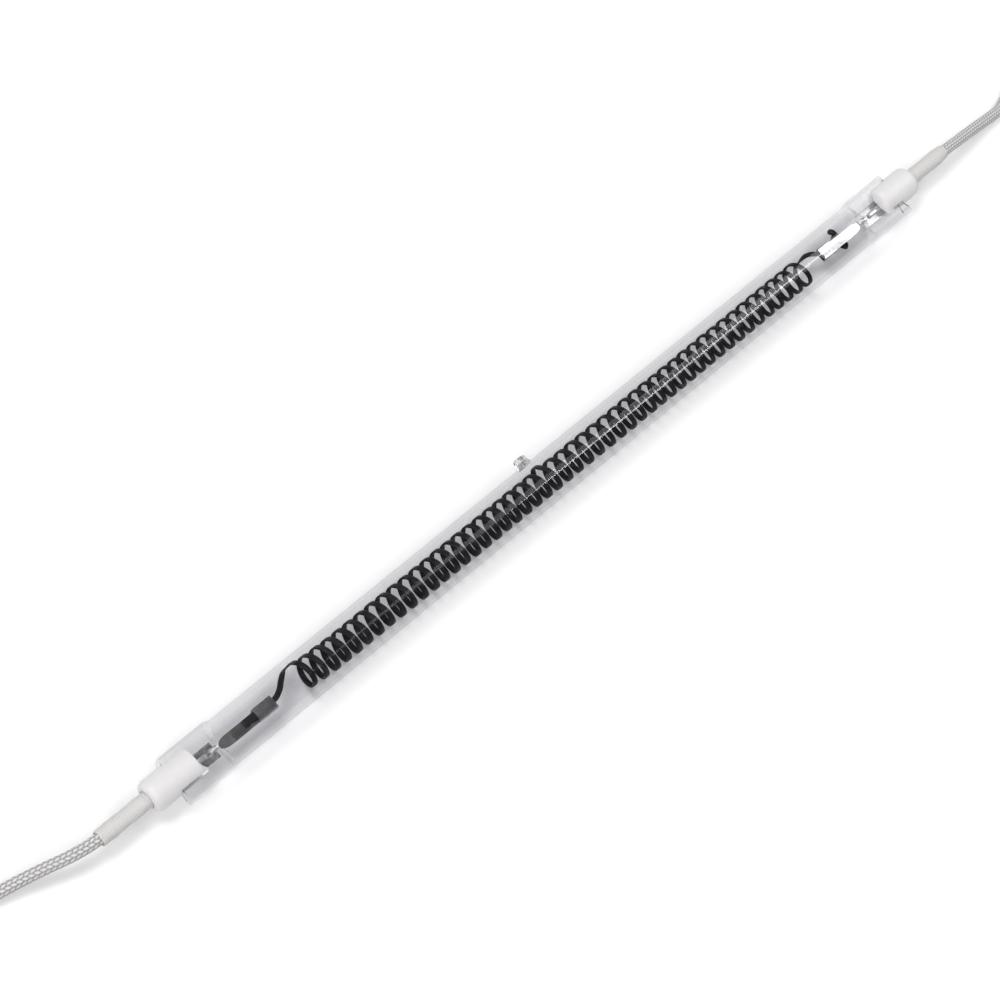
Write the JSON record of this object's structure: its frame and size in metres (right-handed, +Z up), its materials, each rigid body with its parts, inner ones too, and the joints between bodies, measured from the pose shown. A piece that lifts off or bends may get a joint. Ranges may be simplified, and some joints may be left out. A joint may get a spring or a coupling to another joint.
{
  "type": "quartz heating tube",
  "caption": "Clear quartz infrared heating tube with a flat-ribbon carbon spiral, flat pinched ends, white ceramic end caps and braided heat-proof leads.",
  "frame": {"origin": "on the surface that the lamp lies on, below the middle of the tube", "axes": "+X along the tube towards the end with the shorter cap, +Z up, +Y towards the side with the sealed exhaust tip"},
  "size_m": [0.4718, 0.0213, 0.012],
  "materials": {
    "quartz": "clear fused quartz, polished",
    "carbon": "matt black woven carbon-fibre ribbon",
    "foil": "thin molybdenum foil, dull grey",
    "nickel": "bright nickel sheet and wire",
    "tinned": "tinned stranded wire end",
    "ceramic": "white fired ceramic, unglazed, fine grained",
    "cement": "white refractory cement, rough",
    "sleeve": "off-white knitted glass-fibre sleeving",
    "braid": "white and grey braided glass-fibre lead cover",
    "tie": "white woven tape"
  },
  "bodies": {
    "root": {"quartz_tube": "quartz", "carbon_spiral": "carbon", "left_foil": "foil", "left_inner_rod": "nickel", "left_outer_rod": "nickel", "left_rod_coil": "nickel", "left_contact_strip": "nickel", "left_clamp": "nickel", "left_ceramic_cap": "ceramic", "left_cement": "cement", "left_crimp": "nickel", "left_sleeve": "sleeve", "left_lead": "braid", "left_lead_hank": "braid", "left_lead_tie": "tie", "left_lead_tip": "tinned", "right_foil": "foil", "right_inner_rod": "nickel", "right_outer_rod": "nickel", "right_rod_coil": "nickel", "right_contact_strip": "nickel", "right_clamp": "nickel", "right_ceramic_cap": "ceramic", "right_cement": "cement", "right_crimp": "nickel", "right_sleeve": "sleeve", "right_lead": "braid", "right_lead_hank": "braid", "right_lead_tie": "tie", "right_lead_tip": "tinned"}
  },
  "joints": []
}
